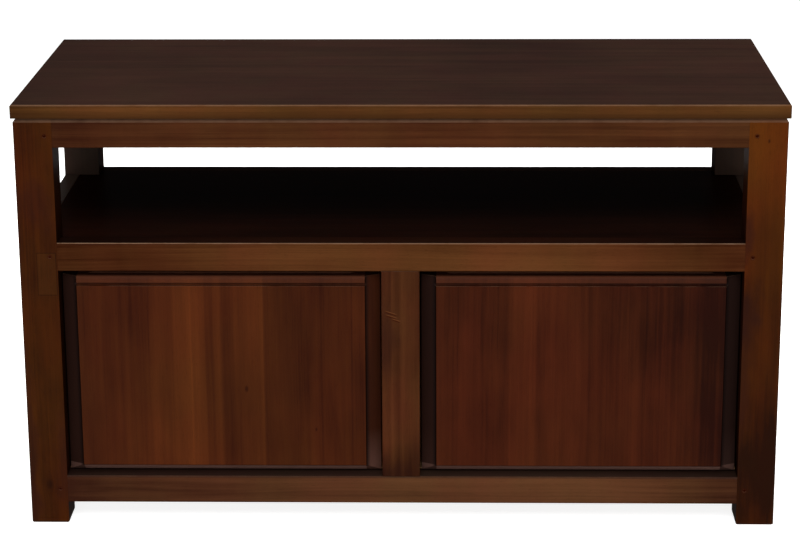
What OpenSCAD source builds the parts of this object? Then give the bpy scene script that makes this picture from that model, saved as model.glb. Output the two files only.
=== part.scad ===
// Television stand in solid mahogany: a mortised and pegged frame, an open shelf and two drawers.
// Millimetres. The front faces -Y and the origin lies on the floor under the middle of the top.

/* [Overall size] */
// Width of the top board
top_w = 1000; // [880:1:1300]
// Depth of the top board
top_d = 450; // [400:1:600]
// Height from the floor to the top of the top board
stand_h = 575; // [500:1:700]
// Thickness of the top board
top_t = 18; // [15:0.5:25]
// How far the top board stands out past the frame on every side
top_overhang = 2.5; // [0:0.5:15]
// Chamfer round the upper edge of the top board
top_arris = 1.5; // [0.5:0.5:4]

/* [Frame] */
// Width of each square leg
leg_w = 50; // [46:1:60]
// Thickness of every rail and of the centre stile
rail_t = 30; // [27:1:34]
// Height of the bottom rails above the floor
floor_gap = 30; // [15:1:80]
// Height of the bottom rails
bottom_rail_h = 38; // [32:1:50]
// Height of the front middle rail
middle_rail_h = 38; // [34:1:48]
// Height of the open shelf compartment at the front
compartment_h = 127; // [90:1:170]
// Height of the top rails
top_rail_h = 39; // [34:1:48]
// Width of the centre stile between the drawers
stile_w = 50; // [44:1:70]
// Height of the bevel under the top board
top_bevel_h = 5.5; // [2:0.5:8]
// Depth of the bevel under the top board
top_bevel_in = 4; // [1:0.5:6]
// Eased arris on the show edges of legs, rails and stile
edge_ease = 1; // [0.5:0.25:2]
// Chamfer round the foot of each leg
foot_ease = 2; // [0.5:0.5:4]

/* [Joints] */
// Thickness of the tenons
tenon_t = 10; // [8:0.5:12]
// Length of the rail tenons
tenon_l = 25; // [18:1:27]
// Shoulder above and below a tenon
tenon_shoulder = 4; // [2:0.5:6]
// Wood left in the leg above the top rail's tenon
top_haunch = 12; // [8:0.5:16]
// Length of the tenons on the centre stile
stile_tenon_l = 15; // [8:0.5:18]
// Shoulder at each side of the stile's tenons
stile_shoulder = 8; // [4:0.5:12]
// Room at the bottom of each mortise for glue
glue_room = 1; // [0.5:0.25:2]
// Clearance on each cheek of a tenon, a dovetail or a stub
joint_fit = 0.1; // [0.05:0.05:0.3]
// Diameter of the pegs that lock the tenons
peg_d = 4; // [3:0.5:6]
// Length of the pegs
peg_l = 28; // [24:1:32]
// Distance of a peg from the shoulder of its rail
peg_setback = 10; // [7:0.5:14]
// How far the head of a peg sits below the face of the leg
peg_sink = 0.6; // [0:0.1:1.5]
// Radial clearance of a peg or a screw in its hole
pin_fit = 0.05; // [0.02:0.01:0.1]

/* [Panels and shelf] */
// Thickness of the side and back panels
panel_t = 8; // [5:0.5:10]
// Depth of the panel grooves
panel_groove = 8; // [5:0.5:10]
// Clearance on each face of a panel in its groove
panel_fit = 0.15; // [0.1:0.05:0.4]
// Room left for a panel to swell at the bottom of its groove
panel_room = 1; // [0.5:0.25:2]
// Thickness of the shelf board
shelf_t = 15; // [12:0.5:18]
// How far the shelf lies below the top of the front middle rail
shelf_drop = 6; // [2:0.5:8]
// Width of the ledge that carries the shelf
shelf_rest = 9; // [5:0.5:12]
// Gap round the shelf board
shelf_gap = 0.8; // [0.3:0.1:2]

/* [Drawer slides] */
// Width of the side runners and kickers
runner_w = 40; // [34:1:50]
// Thickness of the runners
runner_t = 18; // [14:1:24]
// How far a runner stands above the bottom rail
runner_rise = 2; // [1:0.5:4]
// How far the centre runner reaches under each drawer
centre_reach = 20; // [14:1:30]
// Height of the guides on the runners
guide_h = 25; // [15:1:40]
// Length of the stubs on runners and kickers
stub_l = 8; // [5:0.5:10]
// Height of the stubs
stub_h = 8; // [6:0.5:9]
// Shoulder at each side of a stub
stub_shoulder = 4; // [2:0.5:6]
// Length of the stop blocks behind the drawers
stop_l = 14; // [8:1:40]
// Width of the stop blocks
stop_w = 20; // [10:1:26]
// Height of the stop blocks
stop_h = 20; // [10:1:40]
// Running clearance under and behind a drawer
run_gap = 0.3; // [0.2:0.05:1]
// Gap between a drawer and the kicker above it
kicker_gap = 2; // [1:0.5:4]

/* [Drawers] */
// Gap at each side of a drawer front
side_gap = 2; // [1:0.25:3]
// Finger gap above a drawer front
finger_gap = 9.5; // [6:0.5:16]
// How far the raised field lies behind the face of the frame
field_setback = 8.5; // [4:0.5:14]
// How far the thin edge of a drawer front lies behind the face of the frame
edge_setback = 22; // [17:0.5:26]
// Thickness of a drawer front at its thin edge
front_edge_t = 14; // [12.5:0.5:20]
// Width of the bevels at the sides of the field
side_bevel_w = 20; // [14:0.5:34]
// Height of the bevel under the field
bottom_bevel_h = 10; // [7:0.5:30]
// Depth of the small step round the field
field_step = 3; // [1:0.5:5]
// Slope of that step across its depth
field_step_run = 1; // [0.5:0.25:2]
// Height of the finger lip above the field
lip_h = 9; // [7:0.5:14]
// Radius on the upper front edge of the finger lip
lip_r = 5; // [3:0.5:6]
// Width of the groove between the lip and the field
lip_groove_w = 4; // [3:0.5:6]
// Depth of the groove between the lip and the field
lip_groove_d = 4; // [3:0.5:6]
// Thickness of the lip at the top edge of the drawer front
lip_t = 10; // [8:0.5:12]
// Radius of the finger groove behind the lip
finger_r = 6; // [4:0.5:6.5]
// Distance of the finger groove from each end of a drawer front
finger_end = 40; // [34:1:120]
// Thickness of the drawer sides
drawer_side_t = 12; // [10:0.5:15]
// Thickness of the drawer backs
drawer_back_t = 12; // [10:0.5:15]
// Thickness of the drawer bottoms
drawer_bottom_t = 6; // [4:0.5:8]
// Height of a drawer bottom above the lower edge of its sides
bottom_up = 10; // [9:0.5:14]
// Depth of the grooves that hold a drawer bottom
bottom_groove = 6; // [4:0.5:7]
// How far the drawer sides lie below the top of the front
side_drop = 2; // [0:0.5:10]
// How far a drawer back lies below the top of the sides
back_drop = 8; // [4:0.5:40]
// Length of the dovetails in the drawer front
tail_l = 10; // [8:0.5:11]
// Number of dovetails at the front of a drawer side
tail_n = 5; // [3:1:6]
// Number of dovetails at the back of a drawer side
back_tail_n = 4; // [3:1:5]
// Width of the pins between the dovetails
pin_w = 14; // [10:0.5:17]
// Slope of the dovetails, one in this many
tail_slope = 7; // [6:0.5:10]

/* [Top fixings] */
// Length of the wooden buttons along the rail
button_l = 30; // [20:1:40]
// Reach of the buttons in from the rail
button_w = 32; // [26:1:40]
// Height of the buttons
button_h = 16; // [14:0.5:20]
// Length of the tongue on a button
tongue_l = 9; // [6:0.5:10]
// Height of the tongue on a button
tongue_h = 8; // [5:0.5:10]
// Distance between neighbouring buttons on the long rails
button_pitch = 300; // [150:1:360]
// Diameter of the button screws
screw_d = 4; // [3:0.5:5]
// Diameter of the countersunk screw heads
screw_head_d = 8; // [7:0.5:10]
// Height of the countersunk screw heads
screw_head_h = 3; // [2:0.5:4]
// How far the screws reach up into the top board
screw_bite = 11; // [8:0.5:12]

/* [Hidden] */
$fn = 64;

// Wood and metal colours
show_wood = "#5a2c17";
top_wood = "#4a2416";
shelf_wood = "#381c12";
field_wood = "#63301a";
inner_wood = "#8a6242";
peg_wood = "#2a150d";
screw_steel = "#a9a9a4";

// A cut runs this far past the face that it leaves
past = 1;

// Frame size and the lengths between the legs
frame_w = top_w - 2 * top_overhang;
frame_d = top_d - 2 * top_overhang;
frame_h = stand_h - top_t;
long_rail_l = frame_w - 2 * leg_w;
side_rail_l = frame_d - 2 * leg_w;
inner_x = frame_w / 2 - rail_t;
inner_y = frame_d / 2 - rail_t;

// Heights of the rails above the floor
bottom_z = floor_gap;
opening_z = bottom_z + bottom_rail_h;
top_rail_z = frame_h - top_rail_h;
middle_z = top_rail_z - compartment_h - middle_rail_h;
shelf_rail_h = middle_rail_h - shelf_drop;
shelf_z = middle_z + shelf_rail_h - shelf_t;

// Each rail is [height above the floor, height, shoulder below its tenon, shoulder above it]
panel_shoulder = panel_groove + 0.5;
front_bottom = [bottom_z, bottom_rail_h, tenon_shoulder, tenon_shoulder];
front_middle = [middle_z, middle_rail_h, tenon_shoulder, tenon_shoulder];
panel_bottom = [bottom_z, bottom_rail_h, tenon_shoulder, panel_shoulder];
panel_middle = [middle_z, shelf_rail_h, panel_shoulder, tenon_shoulder];
top_rail = [top_rail_z, top_rail_h, tenon_shoulder, top_haunch];
front_rails = [front_bottom, front_middle, top_rail];
panel_rails = [panel_bottom, panel_middle, top_rail];
function tenon_h(r) = r[1] - r[2] - r[3];
function peg_up(r) = r[2] + tenon_h(r) / 2;
peg_in = leg_w - peg_setback;

// Drawer sizes; heights inside a drawer are measured from its own lower edge
runner_z = opening_z + runner_rise - runner_t;
runner_top = runner_z + runner_t;
drawer_z = runner_top + run_gap;
opening_w = (long_rail_l - stile_w) / 2;
drawer_w = opening_w - 2 * side_gap;
front_h = middle_z - finger_gap - drawer_z;
front_back = edge_setback + front_edge_t;
side_h = front_h - side_drop;
drawer_end = frame_d - rail_t - stop_l - run_gap;
back_z = bottom_up + drawer_bottom_t + 2 * joint_fit;
back_h = side_h - back_drop - back_z;
kicker_z = drawer_z + front_h + kicker_gap;
kicker_h = shelf_z - kicker_z;
strip_w = runner_w - (leg_w - rail_t);
centre_w = stile_w + 2 * centre_reach;
stub_up = (shelf_z - middle_z - stub_h) / 2;
kicker_stub_up = middle_z + stub_up - kicker_z;
runner_stub_up = (runner_t - stub_h) / 2;
finger_y = field_setback + lip_t + finger_r;

// Top fixings
slot_z = top_rail_h - button_h;
screw_in = rail_t + button_w / 2;
long_buttons = [-button_pitch, 0, button_pitch];
side_buttons = [0];

// Moves a piece drawn for the front to one side of the frame: x runs along the rail, y goes inwards
module on_front() {
    translate([0, -frame_d / 2, 0]) children();
}
module on_rear() {
    mirror([0, 1, 0]) on_front() children();
}
module on_left() {
    translate([-frame_w / 2, 0, 0]) rotate([0, 0, -90]) children();
}
module on_right() {
    mirror([1, 0, 0]) on_left() children();
}

// Moves a drawer piece to its opening, with x measured from the drawer's left side
module in_left_opening() {
    translate([-stile_w / 2 - side_gap - drawer_w, -frame_d / 2, drawer_z]) children();
}
module in_right_opening() {
    translate([stile_w / 2 + side_gap, -frame_d / 2, drawer_z]) children();
}

// Extrudes a (depth, height) outline along x, centred when asked
module along_x(length, centred = false) {
    translate([centred ? -length / 2 : 0, 0, 0]) rotate([90, 0, 90]) linear_extrude(length) children();
}

// Rails

// Cross-section of a rail with eased show edges, and with the bevel where the top board sits on it
module rail_outline(h, bevelled) {
    cut_in = bevelled ? top_bevel_in : edge_ease;
    cut_down = bevelled ? top_bevel_h : edge_ease;
    polygon([[edge_ease, 0], [rail_t, 0], [rail_t, h], [cut_in, h], [0, h - cut_down], [0, edge_ease]]);
}

// Tenon at one end of a rail, or the mortise for it when grown
module tenon(r, grow = 0, room = 0) {
    translate([-past, rail_t / 2 - tenon_t / 2 - grow, r[2] - grow])
        cube([tenon_l + past + room, tenon_t + 2 * grow, tenon_h(r) + 2 * grow]);
}

// Hole for a peg, drilled from the show face
module peg_hole(r) {
    translate([0, -past, peg_up(r)]) rotate([-90, 0, 0])
        cylinder(r = peg_d / 2 + pin_fit, h = past + peg_l + peg_sink + glue_room);
}

// A rail between two legs, with its tenons drilled for the pegs
module rail(r, length, bevelled = false) {
    difference() {
        union() {
            along_x(length, true) rail_outline(r[1], bevelled);
            for (side = [0, 1]) mirror([side, 0, 0]) translate([length / 2, 0, 0]) tenon(r);
        }
        for (side = [-1, 1]) translate([side * (length / 2 + peg_setback), 0, 0]) peg_hole(r);
    }
}

// Groove for a panel along the edge of a rail, starting at that edge and rising
module edge_groove(length) {
    translate([-length / 2 - past, rail_t / 2 - panel_t / 2 - panel_fit, -past])
        cube([length + 2 * past, panel_t + 2 * panel_fit, panel_groove + past]);
}

// Ledge cut in the inner upper edge of a rail to carry the shelf
module shelf_ledge(length) {
    translate([-length / 2 - past, rail_t - shelf_rest, shelf_z - middle_z])
        cube([length + 2 * past, shelf_rest + past, shelf_t + past]);
}

// Slots for the tongues of the buttons in the inner face of a top rail
module button_slots(places) {
    for (x = places)
        translate([x - button_l / 2 - panel_room, rail_t - tongue_l - panel_room, slot_z])
            cube([button_l + 2 * panel_room, tongue_l + panel_room + past, tongue_h + panel_fit]);
}

// Stub at the end of a runner or kicker, or its socket when grown; y runs from the rail's inner face
module stub(w, up, grow = 0, room = 0) {
    translate([stub_shoulder - grow, -stub_l - room, up - grow])
        cube([w - 2 * stub_shoulder + 2 * grow, stub_l + room + past, stub_h + 2 * grow]);
}

// Sockets for three stubs in the inner face of a long rail, at a height above the rail's foot
module stub_sockets(up) {
    for (side = [0, 1]) mirror([side, 0, 0])
        translate([-long_rail_l / 2, rail_t, 0]) stub(strip_w, up, joint_fit, glue_room);
    translate([-centre_w / 2, rail_t, 0]) stub(centre_w, up, joint_fit, glue_room);
}

// Mortise for the centre stile, cut upwards from z = 0
module stile_mortise() {
    w = stile_w - 2 * stile_shoulder + 2 * joint_fit;
    translate([-w / 2, rail_t / 2 - tenon_t / 2 - joint_fit, -past])
        cube([w, tenon_t + 2 * joint_fit, stile_tenon_l + glue_room + past]);
}

module front_top_rail() {
    color(show_wood) on_front() translate([0, 0, top_rail_z]) difference() {
        rail(top_rail, long_rail_l, true);
        button_slots(long_buttons);
    }
}

module front_middle_rail() {
    color(show_wood) on_front() translate([0, 0, middle_z]) difference() {
        rail(front_middle, long_rail_l);
        translate([-long_rail_l / 2 - past, rail_t - shelf_rest, shelf_z - middle_z])
            cube([long_rail_l + 2 * past, shelf_rest + past, shelf_t + panel_fit]);
        stub_sockets(stub_up);
        stile_mortise();
    }
}

module front_bottom_rail() {
    color(show_wood) on_front() translate([0, 0, bottom_z]) difference() {
        rail(front_bottom, long_rail_l);
        stub_sockets(runner_z - bottom_z + runner_stub_up);
        translate([0, 0, bottom_rail_h]) mirror([0, 0, 1]) stile_mortise();
    }
}

module rear_top_rail() {
    color(show_wood) on_rear() translate([0, 0, top_rail_z]) difference() {
        rail(top_rail, long_rail_l, true);
        button_slots(long_buttons);
    }
}

module rear_middle_rail() {
    color(show_wood) on_rear() translate([0, 0, middle_z]) difference() {
        rail(panel_middle, long_rail_l);
        shelf_ledge(long_rail_l);
        edge_groove(long_rail_l);
        stub_sockets(stub_up);
    }
}

module rear_bottom_rail() {
    color(show_wood) on_rear() translate([0, 0, bottom_z]) difference() {
        rail(panel_bottom, long_rail_l);
        stub_sockets(runner_z - bottom_z + runner_stub_up);
        translate([0, 0, bottom_rail_h]) mirror([0, 0, 1]) edge_groove(long_rail_l);
    }
}

module side_top_rail() {
    translate([0, 0, top_rail_z]) difference() {
        rail(top_rail, side_rail_l, true);
        button_slots(side_buttons);
    }
}
module side_top_rail_left() { color(show_wood) on_left() side_top_rail(); }
module side_top_rail_right() { color(show_wood) on_right() side_top_rail(); }

module side_middle_rail() {
    translate([0, 0, middle_z]) difference() {
        rail(panel_middle, side_rail_l);
        shelf_ledge(side_rail_l);
        edge_groove(side_rail_l);
    }
}
module side_middle_rail_left() { color(show_wood) on_left() side_middle_rail(); }
module side_middle_rail_right() { color(show_wood) on_right() side_middle_rail(); }

module side_bottom_rail() {
    translate([0, 0, bottom_z]) difference() {
        rail(panel_bottom, side_rail_l);
        translate([0, 0, bottom_rail_h]) mirror([0, 0, 1]) edge_groove(side_rail_l);
    }
}
module side_bottom_rail_left() { color(show_wood) on_left() side_bottom_rail(); }
module side_bottom_rail_right() { color(show_wood) on_right() side_bottom_rail(); }

// Legs

// Side view of a leg from its outer face at x = 0, with the foot chamfer and the top bevel
module leg_outline() {
    polygon([[foot_ease, 0], [leg_w - foot_ease, 0], [leg_w, foot_ease], [leg_w, frame_h],
        [top_bevel_in, frame_h], [0, frame_h - top_bevel_h], [0, foot_ease]]);
}

// Mortises and peg holes in the face x = leg_w, for rails that run along x
module leg_mortises(rails) {
    for (r = rails) translate([0, 0, r[0]]) {
        translate([leg_w, 0, 0]) mirror([1, 0, 0]) tenon(r, joint_fit, glue_room);
        translate([peg_in, 0, 0]) peg_hole(r);
    }
}

// Panel groove in the face x = leg_w
module leg_groove() {
    translate([leg_w - panel_groove, rail_t / 2 - panel_t / 2 - panel_fit, opening_z - panel_groove])
        cube([panel_groove + past, panel_t + 2 * panel_fit, middle_z - opening_z + 2 * panel_groove]);
}

// Swaps x and y, so that what is cut in one inner face is cut in the other
module swap_xy() {
    mirror([1, -1, 0]) children();
}

// A leg with its outer corner at the origin
module leg(long_rails, back_groove) {
    difference() {
        intersection() {
            swap_xy() along_x(leg_w) leg_outline();
            along_x(leg_w) leg_outline();
            linear_extrude(frame_h)
                polygon([[edge_ease, 0], [leg_w, 0], [leg_w, leg_w], [0, leg_w], [0, edge_ease]]);
        }
        leg_mortises(long_rails);
        swap_xy() leg_mortises(panel_rails);
        swap_xy() leg_groove();
        if (back_groove) leg_groove();
    }
}

module front_leg() { translate([-frame_w / 2, -frame_d / 2, 0]) leg(front_rails, false); }
module rear_leg() { mirror([0, 1, 0]) translate([-frame_w / 2, -frame_d / 2, 0]) leg(panel_rails, true); }
module leg_front_left() { color(show_wood) front_leg(); }
module leg_front_right() { color(show_wood) mirror([1, 0, 0]) front_leg(); }
module leg_rear_left() { color(show_wood) rear_leg(); }
module leg_rear_right() { color(show_wood) mirror([1, 0, 0]) rear_leg(); }

// Centre stile, with a tenon into the rail above and the rail below
module centre_stile() {
    h = middle_z - opening_z;
    w = stile_w - 2 * stile_shoulder;
    color(show_wood) on_front() translate([0, 0, opening_z]) {
        linear_extrude(h)
            polygon([[-stile_w / 2 + edge_ease, 0], [stile_w / 2 - edge_ease, 0],
                [stile_w / 2, edge_ease], [stile_w / 2, rail_t],
                [-stile_w / 2, rail_t], [-stile_w / 2, edge_ease]]);
        translate([-w / 2, rail_t / 2 - tenon_t / 2, -stile_tenon_l])
            cube([w, tenon_t, h + 2 * stile_tenon_l]);
    }
}

// Top board, shelf and panels

// Section of the top board with its upper edges chamfered
module board_outline(length) {
    polygon([[-length / 2, 0], [length / 2, 0], [length / 2, top_t - top_arris],
        [length / 2 - top_arris, top_t], [-length / 2 + top_arris, top_t],
        [-length / 2, top_t - top_arris]]);
}

module top_board() {
    color(top_wood) difference() {
        translate([0, 0, frame_h]) intersection() {
            along_x(top_w, true) board_outline(top_d);
            swap_xy() along_x(top_d, true) board_outline(top_w);
        }
        each_button() translate([0, screw_in, frame_h - past])
            cylinder(r = screw_d / 2 + pin_fit, h = screw_bite + past + glue_room);
    }
}

// Shelf, notched round the legs, with its edges on the ledges of the rails
module shelf_board() {
    side = frame_w / 2 - rail_t + shelf_rest - shelf_gap;
    end = frame_d / 2 - rail_t + shelf_rest - shelf_gap;
    color(shelf_wood) translate([0, 0, shelf_z]) linear_extrude(shelf_t) {
        square([2 * side, side_rail_l - 2 * shelf_gap], center = true);
        square([long_rail_l - 2 * shelf_gap, 2 * end], center = true);
    }
}

// A panel between two legs, with its edges in the grooves
module framed_panel(length) {
    reach = panel_groove - panel_room;
    translate([-length / 2 - reach, rail_t / 2 - panel_t / 2, opening_z - reach])
        cube([length + 2 * reach, panel_t, middle_z - opening_z + 2 * reach]);
}
module side_panel_left() { color(show_wood) on_left() framed_panel(side_rail_l); }
module side_panel_right() { color(show_wood) on_right() framed_panel(side_rail_l); }
module back_panel() { color(inner_wood) on_rear() framed_panel(long_rail_l); }

// Drawer slides

// Left runner or kicker: notched round the legs, with a stub at each end
module side_strip(h, up) {
    translate([-inner_x, -side_rail_l / 2, 0]) cube([runner_w, side_rail_l, h]);
    translate([-long_rail_l / 2, -inner_y, 0]) cube([strip_w, 2 * inner_y, h]);
    for (end = [0, 1]) mirror([0, end, 0])
        translate([-long_rail_l / 2, -inner_y, 0]) stub(strip_w, up);
}

// Centre runner or kicker, behind the stile
module centre_strip(h, up) {
    translate([-centre_w / 2, -inner_y, 0]) cube([centre_w, 2 * inner_y, h]);
    for (end = [0, 1]) mirror([0, end, 0])
        translate([-centre_w / 2, -inner_y, 0]) stub(centre_w, up);
}

module side_runner() { translate([0, 0, runner_z]) side_strip(runner_t, runner_stub_up); }
module runner_left() { color(inner_wood) side_runner(); }
module runner_right() { color(inner_wood) mirror([1, 0, 0]) side_runner(); }
module runner_centre() {
    color(inner_wood) translate([0, 0, runner_z]) centre_strip(runner_t, runner_stub_up);
}

module side_kicker() { translate([0, 0, kicker_z]) side_strip(kicker_h, kicker_stub_up); }
module kicker_left() { color(inner_wood) side_kicker(); }
module kicker_right() { color(inner_wood) mirror([1, 0, 0]) side_kicker(); }
module kicker_centre() {
    color(inner_wood) translate([0, 0, kicker_z]) centre_strip(kicker_h, kicker_stub_up);
}

// Guides that fill the space beside the drawers, in line with the legs and the stile
module side_guide() {
    translate([-inner_x, -side_rail_l / 2, runner_top])
        cube([leg_w - rail_t, side_rail_l, guide_h]);
}
module guide_left() { color(inner_wood) side_guide(); }
module guide_right() { color(inner_wood) mirror([1, 0, 0]) side_guide(); }
module guide_centre() {
    color(inner_wood) translate([-stile_w / 2, -inner_y, runner_top])
        cube([stile_w, 2 * inner_y, guide_h]);
}

// Blocks on the runners that stop the drawers flush
module drawer_stops() {
    color(inner_wood) for (side = [0, 1]) mirror([side, 0, 0])
        for (x = [stile_w / 2, long_rail_l / 2 - stop_w])
            translate([x, inner_y - stop_l, runner_top]) cube([stop_w, stop_l, stop_h]);
}

// Top fixings and pegs

// Repeats a piece at every button, with y measured in from the face of the frame
module each_button() {
    for (x = long_buttons) {
        on_front() translate([x, 0, 0]) children();
        on_rear() translate([x, 0, 0]) children();
    }
    for (x = side_buttons) {
        on_left() translate([x, 0, 0]) children();
        on_right() translate([x, 0, 0]) children();
    }
}

// A screw along z, with its countersunk head down, or its hole when grown
module screw(length, grow = 0) {
    cylinder(r1 = screw_head_d / 2 + grow, r2 = screw_d / 2 + grow, h = screw_head_h);
    cylinder(r = screw_d / 2 + grow, h = length);
}

module top_buttons() {
    color(inner_wood) each_button() translate([0, 0, frame_h - button_h]) difference() {
        union() {
            translate([-button_l / 2, rail_t, 0]) cube([button_l, button_w, button_h]);
            translate([-button_l / 2, rail_t - tongue_l, 0]) cube([button_l, tongue_l + past, tongue_h]);
        }
        translate([0, screw_in, -pin_fit]) screw(button_h + past, pin_fit);
    }
}

module button_screws() {
    color(screw_steel) each_button() translate([0, screw_in, frame_h - button_h])
        screw(button_h + screw_bite);
}

// Pegs through the tenons of a pair of like rails
module rail_pegs(rails, length) {
    for (r = rails) for (side = [-1, 1])
        translate([side * (length / 2 + peg_setback), peg_sink, r[0] + peg_up(r)])
            rotate([-90, 0, 0]) cylinder(r = peg_d / 2, h = peg_l);
}
module joint_pegs() {
    color(peg_wood) {
        on_front() rail_pegs(front_rails, long_rail_l);
        on_rear() rail_pegs(panel_rails, long_rail_l);
        on_left() rail_pegs(panel_rails, side_rail_l);
        on_right() rail_pegs(panel_rails, side_rail_l);
    }
}

// Drawers: x runs across the drawer, y goes in from the face of the frame, z starts at its lower edge

// Section from front to back: bottom bevel, step, field, groove and rounded finger lip
module front_section() {
    groove_r = lip_groove_w / 2;
    difference() {
        union() {
            polygon([[edge_setback, 0], [front_back, 0], [front_back, front_h],
                [field_setback + lip_r, front_h], [field_setback, front_h - lip_r],
                [field_setback, bottom_bevel_h],
                [field_setback + field_step, bottom_bevel_h - field_step_run]]);
            translate([field_setback + lip_r, front_h - lip_r]) circle(lip_r);
        }
        translate([field_setback, front_h - lip_h - groove_r]) {
            translate([-past, -groove_r]) square([past + lip_groove_d - groove_r, lip_groove_w]);
            translate([lip_groove_d - groove_r, 0]) circle(groove_r);
        }
    }
}

// Plan of a drawer front: thin edges, bevels, step and field
module front_plan() {
    step = [side_bevel_w - field_step_run, field_setback + field_step];
    field = [side_bevel_w, field_setback];
    polygon([[0, edge_setback], step, field,
        [drawer_w - field[0], field[1]], [drawer_w - step[0], step[1]], [drawer_w, edge_setback],
        [drawer_w, front_back], [0, front_back]]);
}

// A row of dovetails that point along -y from y = 0, spread over a height of span
module tails(count, span, length, along, grow = 0) {
    pitch = span / count;
    root = (pitch - pin_w) / 2 + grow;
    reach = length + grow;
    tip = root + reach / tail_slope;
    for (i = [0 : count - 1])
        translate([0, 0, (i + 0.5) * pitch]) along_x(along)
            polygon([[past, -root], [past, root], [0, root], [-reach, tip], [-reach, -tip], [0, -root]]);
}

// Finger groove cut in the top edge of a drawer front, with round ends
module finger_groove() {
    translate([finger_end, finger_y, front_h]) {
        rotate([0, 90, 0]) cylinder(r = finger_r, h = drawer_w - 2 * finger_end);
        sphere(finger_r);
        translate([drawer_w - 2 * finger_end, 0, 0]) sphere(finger_r);
    }
}

// Bottom board of a drawer, or the slot for it when grown
module bottom_board(grow = 0) {
    inset = drawer_side_t - bottom_groove + joint_fit - grow;
    front_edge = front_back - bottom_groove + joint_fit - grow;
    translate([inset, front_edge, bottom_up - grow])
        cube([drawer_w - 2 * inset, drawer_end - front_edge + (grow > 0 ? past : 0),
            drawer_bottom_t + 2 * grow]);
}

module drawer_front() {
    difference() {
        intersection() {
            along_x(drawer_w) front_section();
            linear_extrude(front_h) front_plan();
        }
        finger_groove();
        bottom_board(joint_fit);
        for (side = [0, 1]) translate([side * drawer_w, front_back, 0]) mirror([side, 0, 0])
            translate([-past, 0, 0]) tails(tail_n, side_h, tail_l, drawer_side_t + past, joint_fit);
    }
}

// The tails at the back of a side, or their sockets; they run right through the back
module back_tails(along, grow = 0) {
    mirror([0, 1, 0]) tails(back_tail_n, back_h, drawer_back_t + past, along, grow);
}

// The left side of a drawer, with tails at both ends and the groove for the bottom
module drawer_side() {
    difference() {
        translate([0, front_back, 0]) {
            cube([drawer_side_t, drawer_end - front_back, side_h]);
            tails(tail_n, side_h, tail_l, drawer_side_t);
        }
        translate([-past, drawer_end - drawer_back_t, back_z]) difference() {
            cube([drawer_side_t + 2 * past, drawer_back_t + past, back_h]);
            back_tails(drawer_side_t + 2 * past);
        }
        bottom_board(joint_fit);
    }
}

module drawer_back() {
    translate([0, drawer_end - drawer_back_t, back_z]) difference() {
        cube([drawer_w, drawer_back_t, back_h]);
        for (side = [0, 1]) translate([side * drawer_w, 0, 0]) mirror([side, 0, 0])
            translate([-past, 0, 0]) back_tails(drawer_side_t + past, joint_fit);
    }
}

module drawer_side_right() { translate([drawer_w, 0, 0]) mirror([1, 0, 0]) drawer_side(); }

module drawer_left_front() { color(field_wood) in_left_opening() drawer_front(); }
module drawer_left_side_outer() { color(inner_wood) in_left_opening() drawer_side(); }
module drawer_left_side_inner() { color(inner_wood) in_left_opening() drawer_side_right(); }
module drawer_left_back() { color(inner_wood) in_left_opening() drawer_back(); }
module drawer_left_bottom() { color(inner_wood) in_left_opening() bottom_board(); }
module drawer_right_front() { color(field_wood) in_right_opening() drawer_front(); }
module drawer_right_side_outer() { color(inner_wood) in_right_opening() drawer_side_right(); }
module drawer_right_side_inner() { color(inner_wood) in_right_opening() drawer_side(); }
module drawer_right_back() { color(inner_wood) in_right_opening() drawer_back(); }
module drawer_right_bottom() { color(inner_wood) in_right_opening() bottom_board(); }

top_board();
leg_front_left();
leg_front_right();
leg_rear_left();
leg_rear_right();
front_top_rail();
front_middle_rail();
front_bottom_rail();
centre_stile();
rear_top_rail();
rear_middle_rail();
rear_bottom_rail();
side_top_rail_left();
side_top_rail_right();
side_middle_rail_left();
side_middle_rail_right();
side_bottom_rail_left();
side_bottom_rail_right();
side_panel_left();
side_panel_right();
back_panel();
shelf_board();
runner_left();
runner_centre();
runner_right();
guide_left();
guide_centre();
guide_right();
kicker_left();
kicker_centre();
kicker_right();
drawer_stops();
top_buttons();
button_screws();
joint_pegs();
drawer_left_front();
drawer_left_side_outer();
drawer_left_side_inner();
drawer_left_back();
drawer_left_bottom();
drawer_right_front();
drawer_right_side_outer();
drawer_right_side_inner();
drawer_right_back();
drawer_right_bottom();
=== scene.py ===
"""Television stand in dark mahogany: its finishes, floor, lamps and camera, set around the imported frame."""

import math

import bpy
from bpy.props import FloatProperty, FloatVectorProperty, PointerProperty
from bpy.types import NodeSocket, Operator, Panel, PropertyGroup
from mathutils import Matrix, Vector


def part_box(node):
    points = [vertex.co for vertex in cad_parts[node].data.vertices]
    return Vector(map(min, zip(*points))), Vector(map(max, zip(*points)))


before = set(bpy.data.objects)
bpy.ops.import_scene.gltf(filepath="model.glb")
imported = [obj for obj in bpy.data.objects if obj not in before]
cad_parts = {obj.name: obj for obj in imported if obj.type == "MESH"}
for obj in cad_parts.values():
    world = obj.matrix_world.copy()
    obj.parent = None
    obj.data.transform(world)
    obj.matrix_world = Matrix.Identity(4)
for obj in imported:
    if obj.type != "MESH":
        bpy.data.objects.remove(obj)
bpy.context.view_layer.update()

bl_info = {
    "name": "Television stand",
    "version": (1, 0, 0),
    "blender": (4, 5, 0),
    "location": "View3D > Sidebar > TV stand",
    "description": "Stains and lacquers a framed television stand and lights it in a plain studio",
    "category": "Object",
}

AXES = "XYZ"
WHITE = (1.0, 1.0, 1.0, 1.0)

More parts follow.
